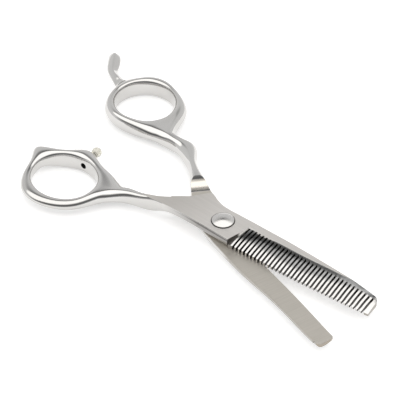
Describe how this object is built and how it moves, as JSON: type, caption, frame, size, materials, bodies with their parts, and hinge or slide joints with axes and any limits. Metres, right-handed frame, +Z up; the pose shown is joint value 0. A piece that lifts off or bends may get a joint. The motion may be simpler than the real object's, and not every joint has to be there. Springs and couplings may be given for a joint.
{
  "type": "thinning shears",
  "caption": "Hairdresser's thinning shears with one toothed and one plain blade, offset finger rings, a finger rest and a domed adjustable pivot.",
  "frame": {"origin": "on the pivot axis, at the height of the table the shears lie on", "axes": "+X along the line that halves the open blades, towards the tips; +Z up, along the pivot axis, out of the domed bolt head"},
  "size_m": [0.1705, 0.08, 0.0095],
  "materials": {
    "blade_steel": "satin ground flats with polished hollow",
    "handle_steel": "mirror polished",
    "screw_steel": "polished",
    "spring_steel": "plain",
    "bush_plastic": "matt",
    "clear_bumper": "clear, slightly cream"
  },
  "bodies": {
    "plain_half": {"plain_blade": "blade_steel", "finger_handle": "handle_steel", "pivot_bush": "bush_plastic", "slip_washer": "bush_plastic"},
    "toothed_half": {"toothed_blade": "blade_steel", "thumb_handle": "handle_steel", "pivot_bolt": "screw_steel", "spring_washer": "spring_steel", "click_plate": "spring_steel", "bumper_head": "clear_bumper", "bumper_stud": "screw_steel"},
    "nut": {"tension_nut": "screw_steel"}
  },
  "joints": [
    {"name": "main_pivot", "type": "hinge", "parent": "plain_half", "child": "toothed_half", "pos_m": [0, 0, 0.0042], "axis": [0, 0, 1], "range_deg": [-14.4, 40]},
    {"name": "tension_adjust", "type": "hinge", "parent": "toothed_half", "child": "nut", "pos_m": [0, 0, 0.0006], "axis": [0, 0, 1], "range_deg": [-180, 180]}
  ]
}
